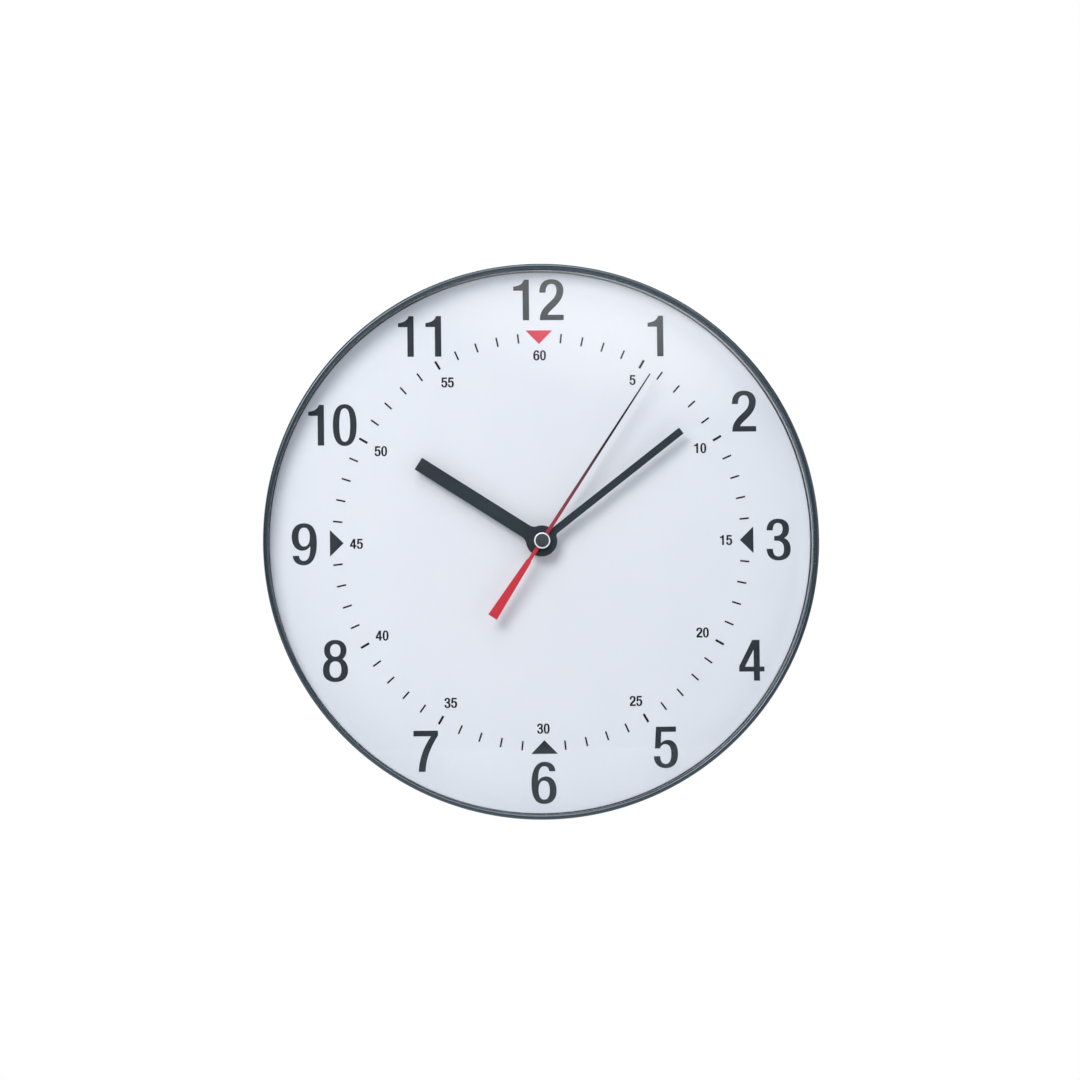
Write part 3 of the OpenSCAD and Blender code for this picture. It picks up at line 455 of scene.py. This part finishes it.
def cap_silver():
    """A bright turned ring between two bevels darkened with painted shade."""
    mat, nodes, links, shader = new_material("cap_chrome")
    flat = nodes.new("ShaderNodeVectorMath")
    flat.operation = "MULTIPLY"
    flat.inputs[1].default_value = (1, 0, 1)
    links.new(own_place(nodes), flat.inputs[0])
    length = nodes.new("ShaderNodeVectorMath")
    length.operation = "LENGTH"
    links.new(flat.outputs["Vector"], length.inputs[0])
    share = mapped(nodes, links, length.outputs["Value"], 0, 1, (0, CAP_REACH * MM))
    stops = [(0, CAP_SHADE), (CAP_RING_IN / CAP_REACH, CAP_SILVER), (CAP_RING_OUT / CAP_REACH, CAP_SHADE)]
    links.new(ramped(nodes, links, share, stops), shader.inputs["Base Color"])
    shader.inputs["Metallic"].default_value = 0.3
    shader.inputs["Roughness"].default_value = 0.42
    return mat


def wound_copper():
    """Enamelled wire wound round the bobbin, whose axis is upright."""
    mat, nodes, links, shader = new_material("wound_copper")
    wave = nodes.new("ShaderNodeTexWave")
    wave.bands_direction = "Z"
    wave.inputs["Scale"].default_value = 1400
    wave.inputs["Distortion"].default_value = 0.6
    links.new(own_place(nodes), wave.inputs["Vector"])
    tone = mixed(nodes, links, wave.outputs["Fac"], (0.32, 0.1, 0.04), (0.72, 0.3, 0.14))
    links.new(tone, shader.inputs["Base Color"])
    shader.inputs["Metallic"].default_value = 0.8
    shader.inputs["Roughness"].default_value = 0.35
    bumped(nodes, links, shader, wave.outputs["Fac"], 6e-5)
    return mat


def cell_sleeve():
    """Plain printed sleeve of a dry cell: bare steel at both ends and two flat tones along it."""
    mat, nodes, links, shader = new_material("cell_sleeve")
    low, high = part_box("battery_cell")
    apart = nodes.new("ShaderNodeSeparateXYZ")
    links.new(own_place(nodes), apart.inputs["Vector"])
    share = mapped(nodes, links, apart.outputs["X"], 0, 1, (low.x, high.x))
    dark_from, amber_from, steel_from = 0.012, 0.71, 0.965
    bands = [(0.0, (0.55, 0.56, 0.58)), (dark_from, (0.05, 0.055, 0.06)),
             (amber_from, (0.42, 0.2, 0.05)), (steel_from, (0.6, 0.6, 0.62))]
    metal = [(0.0, (0.25, 0.25, 0.25)), (steel_from, (1, 1, 1))]
    links.new(ramped(nodes, links, share, bands), shader.inputs["Base Color"])
    links.new(ramped(nodes, links, share, metal), shader.inputs["Metallic"])
    gloss = mapped(nodes, links, noise(nodes, links, 300), 0.22, 0.36)
    links.new(gloss, shader.inputs["Roughness"])
    return mat


MATERIALS = {
    "case_black": surface("case_black", (0.021, 0.023, 0.026), 0.5, grain=5e-5, grain_scale=1500,
                          drift=0.12, rough_drift=0.1),
    "bezel_slate": surface("bezel_slate", SLATE, 0.24, grain=3e-6, grain_scale=900, drift=0.08,
                           rough_drift=0.04, specular=1.0, shine=(0.78, 0.91, 1.0)),
    # Pale glossy colour on the ring's upright wall: painted reflection, the light line between lip and
    # dial
    "ring_wall_painted_reflection": surface("ring_wall_painted_reflection", (0.7, 0.77, 0.84), 0.1, grain=1e-6, rough_drift=0.02, coat=0.5),
    "ring_dark": surface("ring_dark", (0.012, 0.014, 0.017), 0.5, grain=1e-5),
    "lens_glass": lens_glass(),
    "dial_silver": dial_silver(),
    "rubber": surface("rubber", (0.02, 0.02, 0.02), 0.75, grain=6e-5, grain_scale=1200),
    "brass": surface("brass", BRASS, 0.25, metallic=1.0, grain=4e-6, stretch=(1, 1, 0.1)),
    "shell_black": surface("shell_black", (0.016, 0.017, 0.019), 0.42, grain=4e-5, grain_scale=1700,
                           drift=0.1, rough_drift=0.08),
    "white_plastic": surface("white_plastic", WHITE, 0.4, grain=1.2e-5, drift=0.03),
    "amber_plastic": surface("amber_plastic", (0.72, 0.52, 0.24), 0.38, grain=1.2e-5, drift=0.04),
    "board_green": surface("board_green", (0.012, 0.11, 0.035), 0.35, grain=2e-5, coat=0.5, drift=0.2),
    "resin": surface("resin", (0.012, 0.012, 0.013), 0.16, grain=6e-6, grain_scale=400),
    "steel": surface("steel", STEEL, 0.28, metallic=1.0, grain=4e-6, stretch=(1, 0.08, 1)),
    "copper": wound_copper(),
    "magnet": surface("magnet", (0.12, 0.12, 0.125), 0.4, metallic=0.9, grain=1e-5),
    "cell": cell_sleeve(),
    "hand_charcoal": surface("hand_charcoal", (0.016, 0.026, 0.036), 0.46, grain=1.2e-5, drift=0.1,
                             specular=0.3),
    "hand_red": second_hand_red(),
    "cap_chrome": cap_silver(),
    "cap_dark": surface("cap_dark", (0.04, 0.052, 0.062), 0.34, grain=8e-6),
    "ink": surface("ink", INK, 0.5, grain=6e-6, drift=0.08, drift_scale=120, specular=0.2),
    "small_ink": surface("small_ink", SMALL_INK, 0.5, grain=6e-6, drift=0.12, drift_scale=120,
                         specular=0.2),
    "ink_red": surface("ink_red", (0.68, 0.045, 0.085), 0.5, grain=6e-6, drift=0.05, specular=0.2),
}

NODE_MATERIAL = {
    "case_black": ["case"],
    "bezel_slate": ["bezel"],
    "ring_dark": ["spacer_ring"],
    "lens_glass": ["lens"],
    "dial_silver": ["dial"],
    "rubber": ["rubber_washer"],
    "brass": ["dial_washer", "dial_nut", "motion_bush", "second_hand_collet", "minute_hand_collet",
              "hour_hand_collet", "positive_contact", "negative_contact"],
    "shell_black": ["movement_front", "rear_cover"],
    "white_plastic": ["middle_plate", "coil_bobbin", "rotor_pinion", "intermediate_wheel", "third_wheel",
                      "minute_arbor", "motion_wheel", "setting_knob", "hour_wheel"],
    "amber_plastic": ["seconds_wheel", "minute_wheel"],
    "board_green": ["circuit_board"],
    "resin": ["chip"],
    "steel": ["quartz_crystal", "stator", "seconds_arbor", "clutch_spring", "hour_washer"],
    "copper": ["coil_winding"],
    "magnet": ["rotor_magnet"],
    "cell": ["battery_cell"],
    "hand_charcoal": ["hour_hand", "minute_hand"],
    "hand_red": ["second_hand"],
    "cap_chrome": ["hand_cap"],
    "cap_dark": ["cap_inlay"],
}


def dress(obj, material):
    obj.data.materials.clear()
    obj.data.materials.append(MATERIALS[material])


for material, names in NODE_MATERIAL.items():
    for name in names:
        dress(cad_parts[name], material)


# Bezel, ring and lens, turned finely so that their edges and gloss run smoothly

RING_STEPS = 360
BEAD_STEPS, DOME_STEPS = 24, 48
# Vertices nearer than this, in metres, become one
MERGE = 1e-7


def arc(centre, radius, start, end, steps):
    """Points of an arc in the section's plane. Angles are in degrees from the outward direction."""
    angles = [math.radians(start + (end - start) * i / steps) for i in range(steps + 1)]
    return [(centre[0] + radius * math.cos(a), centre[1] + radius * math.sin(a)) for a in angles]


def swept(section, start=0.0, sweep=360.0):
    """Vertices and faces of a section of (radius, height) points turned round the axis."""
    whole = sweep >= 360
    steps = max(3, round(RING_STEPS * sweep / 360))
    rows = steps if whole else steps + 1
    count = len(section)
    verts, faces = [], []
    for row in range(rows):
        a = math.radians(start + sweep * row / steps)
        verts += [(r * math.sin(a), -h, r * math.cos(a)) for r, h in section]
    for row in range(steps):
        one, two = row * count, (row + 1) % rows * count
        for i in range(count):
            j = (i + 1) % count
            faces.append((one + i, one + j, two + j, two + i))
    if not whole:
        faces.append(tuple(range(count))[::-1])
        faces.append(tuple(steps * count + i for i in range(count)))
    return verts, faces


def turned_piece(name, node, material, parts, smooth_below=35):
    """One smooth mesh from the swept parts, in place of a CAD node."""
    verts, faces = [], []
    for part_verts, part_faces in parts:
        first = len(verts)
        verts += part_verts
        faces += [tuple(first + i for i in face) for face in part_faces]
    mesh = bpy.data.meshes.new(name)
    mesh.from_pydata(verts, [], faces)
    shape = bmesh.new()
    shape.from_mesh(mesh)
    bmesh.ops.remove_doubles(shape, verts=shape.verts, dist=MERGE)
    bmesh.ops.recalc_face_normals(shape, faces=shape.faces)
    shape.to_mesh(mesh)
    shape.free()
    mesh.shade_smooth()
    mesh.set_sharp_from_angle(angle=math.radians(smooth_below))
    piece = bpy.data.objects.new(name, mesh)
    scene.collection.objects.link(piece)
    mesh.materials.append(MATERIALS[material])
    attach(piece, ROOT)
    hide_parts(node)
    return piece


def bezel():
    """Side wall with a lip whose front is a half-round bead, and clips inside the wall."""
    inside = BEZEL_R - BEZEL_WALL
    lip_in = BEZEL_R - LIP_W
    bead = LIP_W / 2
    shoulder = BEZEL_FRONT - bead
    lip_rear = BEZEL_FRONT - LIP_T
    section = [(BEZEL_R, BEZEL_REAR)]
    section += arc((BEZEL_R - bead, shoulder), bead, 0, 180, BEAD_STEPS)
    section += [(lip_in, lip_rear), (inside, lip_rear), (inside, BEZEL_REAR)]
    low = BEZEL_REAR + CLIP_UP
    clip = [(inside + CLIP_SUNK, low), (inside - CLIP_T, low + CLIP_H - CLIP_EDGE),
            (inside - CLIP_T, low + CLIP_H), (inside + CLIP_SUNK, low + CLIP_H)]
    angle = math.degrees(CLIP_L / BEZEL_R)
    parts = [swept(section)]
    for i in range(CLIPS):
        parts.append(swept(clip, 90 - 90 / CLIPS - 360 / CLIPS * i - angle / 2, angle))
    turned_piece("bezel_ring", "bezel", "bezel_slate", parts)


def ring():
    """Upright wall between dial and lens, on a small foot."""
    foot_in = LENS_R - RING_FOOT_W
    wall_in = foot_in + RING_FOOT_STEP
    foot_top = DIAL_FRONT + RING_FOOT_H
    section = [(foot_in, DIAL_FRONT), (LENS_R, DIAL_FRONT), (LENS_R, LENS_REAR), (wall_in, LENS_REAR),
               (wall_in, foot_top + RING_FOOT_STEP), (foot_in, foot_top)]
    verts, faces = swept(section)
    verts = [(x + RING_SAG[0], y, z + RING_SAG[1]) for x, y, z in verts]
    piece = turned_piece("dial_ring", "spacer_ring", "ring_dark", [(verts, faces)], smooth_below=20)
    # The upright wall's faces take the pale colour, a painted reflection of the light line there; the rest
    # of the ring is dark plastic
    piece.data.materials.append(MATERIALS["ring_wall_painted_reflection"])
    near = 1e-5
    for face in piece.data.polygons:
        middle = face.center
        from_axis = math.hypot(middle.x - RING_SAG[0], middle.z - RING_SAG[1])
        if -middle.y > foot_top + RING_FOOT_STEP and from_axis < wall_in + near:
            face.material_index = 1


def lens():
    """Thin dome on a flange that the lip holds down."""
    flange_front = LENS_REAR + FLANGE_T
    edge = flange_front + DOME_EDGE
    rise = LENS_APEX - edge
    radius = (DOME_R ** 2 + rise ** 2) / (2 * rise)

    def dome(reach, sphere):
        rings = [reach * i / DOME_STEPS for i in range(DOME_STEPS + 1)]
        return [(r, LENS_APEX - radius + math.sqrt(sphere ** 2 - r ** 2)) for r in rings]

    outer, inner = dome(DOME_R, radius), dome(DOME_R - LENS_T, radius - LENS_T)
    section = outer + [(DOME_R, flange_front), (LENS_R, flange_front), (LENS_R, LENS_REAR),
                       (DOME_R - LENS_T, LENS_REAR)] + inner[::-1]
    turned_piece("lens_dome", "lens", "lens_glass", [swept(section)])


bezel()
ring()
lens()


# The dial's print

def printed(name, contours, material, bold=0.0):
    """Thin raised ink on the dial, from contours in mm. A contour inside another is a hole."""
    curve = bpy.data.curves.new(name + "_curve", "CURVE")
    curve.dimensions = "2D"
    curve.fill_mode = "BOTH"
    curve.extrude = (INK_T + INK_SUNK) / 2 * MM
    curve.offset = bold * MM
    for contour in contours:
        spline = curve.splines.new("POLY")
        spline.points.add(len(contour) - 1)
        for point, (x, y) in zip(spline.points, contour):
            point.co = (x * MM, y * MM, 0, 1)
        spline.use_cyclic_u = True
    flat = bpy.data.objects.new(name + "_curve", curve)
    scene.collection.objects.link(flat)
    bpy.context.view_layer.update()
    mesh = bpy.data.meshes.new_from_object(flat.evaluated_get(bpy.context.evaluated_depsgraph_get()))
    bpy.data.objects.remove(flat)
    middle = DIAL_FRONT + (INK_T - INK_SUNK) / 2 * MM
    mesh.transform(Matrix.Translation((0, -middle, 0)) @ Matrix.Rotation(math.radians(90), 4, "X"))
    mesh.name = name
    piece = bpy.data.objects.new(name, mesh)
    scene.collection.objects.link(piece)
    mesh.materials.clear()
    mesh.materials.append(MATERIALS[material])
    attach(piece, ROOT)
    return piece


def hour_numerals():
    for hour, (right, up) in NUMERAL_NUDGE.items():
        x, y = on_dial(NUMERAL_R, hour * 30)
        shape = number_contours(str(hour), NUMERAL_H, lambda digit: NUMERAL_GAP.get(hour, 0))
        printed(f"numeral_{hour}", moved(shape, x + right, y + up), "ink")


def minute_numerals():
    for minute in range(5, 65, 5):
        x, y = on_dial(MINUTE_R, minute * 6)
        right, up = MINUTE_NUDGE.get(minute, (0, 0))
        shape = number_contours(str(minute), MINUTE_H,
                                lambda digit: MINUTE_GAP_AFTER_1 if digit == "1" else MINUTE_GAP)
        placed = moved(shape, x + right + PRINT_RIGHT, y + up)
        printed(f"minute_{minute}", placed, "small_ink", MINUTE_BOLD)


def bar(width, inner, outer, degrees):
    half = width / 2
    box = [[(-half, inner), (half, inner), (half, outer), (-half, outer)]]
    return moved(turned(box, degrees), PRINT_RIGHT, 0)


def minute_ticks():
    fine, bold = [], []
    for minute in range(60):
        if minute % 15 == 0:
            continue
        if minute % 5 == 0:
            bold += bar(FIVE_TICK_W, TICK_IN, TICK_OUT, minute * 6)
        else:
            fine += bar(TICK_W, TICK_IN, TICK_OUT, minute * 6)
    printed("minute_ticks", fine, "small_ink")
    printed("five_minute_ticks", bold, "small_ink")


def quarter_markers():
    half = MARKER_BASE_W / 2
    shape = [[(0, MARKER_TIP_R), (half, MARKER_BASE_R), (-half, MARKER_BASE_R)]]
    for hour in (12, 3, 6, 9):
        top = hour == 12
        right = 0 if top else DARK_MARKERS_RIGHT
        ink, slot = ("ink_red", "hand_red") if top else ("ink", "hand_charcoal")
        printed(f"marker_{hour}", moved(turned(shape, hour * 30), right, 0), ink)


hour_numerals()
minute_numerals()
minute_ticks()
quarter_markers()


# Floor, light and camera

def floor():
    mesh = bpy.data.meshes.new("floor")
    sides = ((-1, -1), (1, -1), (1, 1), (-1, 1))
    corners = [(x * FLOOR_HALF, y * FLOOR_HALF, FLOOR_LEVEL) for x, y in sides]
    mesh.from_pydata(corners, [], [(0, 1, 2, 3)])
    obj = bpy.data.objects.new("floor", mesh)
    scene.collection.objects.link(obj)
    mesh.materials.append(surface("floor_pale", (0.82, 0.82, 0.82), 0.7, drift=0.01, grain=1e-5))


def studio_world():
    """White to the eye. Gloss sees it white behind the object and dim in front, like a dark room,
    and everything else gets a soft grey light from all round."""
    world = bpy.data.worlds.new("studio")
    scene.world = world
    world.use_nodes = True
    nodes, links = world.node_tree.nodes, world.node_tree.links
    soft = nodes["Background"]
    soft.inputs["Color"].default_value = (*AMBIENT_COLOUR, 1)
    soft.inputs["Strength"].default_value = AMBIENT
    white = nodes.new("ShaderNodeBackground")
    white.inputs["Strength"].default_value = 1.0
    white.inputs["Color"].default_value = (1, 1, 1, 1)
    room = nodes.new("ShaderNodeBackground")
    room.inputs["Color"].default_value = (*ROOM_COLOUR, 1)
    direction = nodes.new("ShaderNodeTexCoord").outputs["Generated"]
    behind = mapped(nodes, links, along(nodes, links, direction, (0, 1, 0)), ROOM_DIM, 1.0, ROOM_WHITE)
    glow = mapped(nodes, links, along(nodes, links, direction, GLOW_FROM), 0, GLOW, GLOW_RANGE)
    links.new(combined(nodes, links, "ADD", behind, glow), room.inputs["Strength"])
    path = nodes.new("ShaderNodeLightPath").outputs
    glossy = path["Is Glossy Ray"]
    lit = blended(nodes, links, glossy, soft.outputs["Background"], room.outputs["Background"])
    straight = combined(nodes, links, "MAXIMUM", path["Is Camera Ray"], path["Is Transmission Ray"])
    seen = blended(nodes, links, straight, lit, white.outputs["Background"])
    links.new(seen, nodes["World Output"].inputs["Surface"])


def soft_lamp(name, place, size, power, colour):
    lamp = bpy.data.lights.new(name, "AREA")
    lamp.shape = "DISK"
    lamp.size = size
    lamp.energy = power
    lamp.color = colour
    obj = bpy.data.objects.new(name, lamp)
    obj.visible_camera = False
    scene.collection.objects.link(obj)
    obj.location = place
    obj.rotation_euler = (-Vector(place)).to_track_quat("-Z", "Y").to_euler()


def photo_camera():
    """Long lens at the photograph's angle; the rim fills as many pixels as it does there."""
    left, below = math.radians(CAMERA_LEFT), math.radians(CAMERA_BELOW)
    away = Vector((-math.sin(left) * math.cos(below), -math.cos(left) * math.cos(below), -math.sin(below)))
    camera = bpy.data.cameras.new("camera")
    camera.sensor_width = SENSOR
    pixel = BEZEL_R / RIM_R_PX
    camera.lens = SENSOR * CAMERA_DISTANCE / (pixel * PHOTO_SIDE)
    camera.clip_start = 0.05
    obj = bpy.data.objects.new("camera", camera)
    scene.collection.objects.link(obj)
    look = (-away).to_track_quat("-Z", "Y").to_matrix().to_4x4()
    roll = Matrix.Rotation(math.radians(-CAMERA_ROLL), 4, "Z")
    aim = Vector((AIM_RIGHT, -AIM_DEPTH, AIM_UP))
    obj.matrix_world = Matrix.Translation(aim + away * CAMERA_DISTANCE) @ look @ roll
    scene.camera = obj


floor()
studio_world()
for lamp in LAMPS:
    soft_lamp(*lamp)
photo_camera()
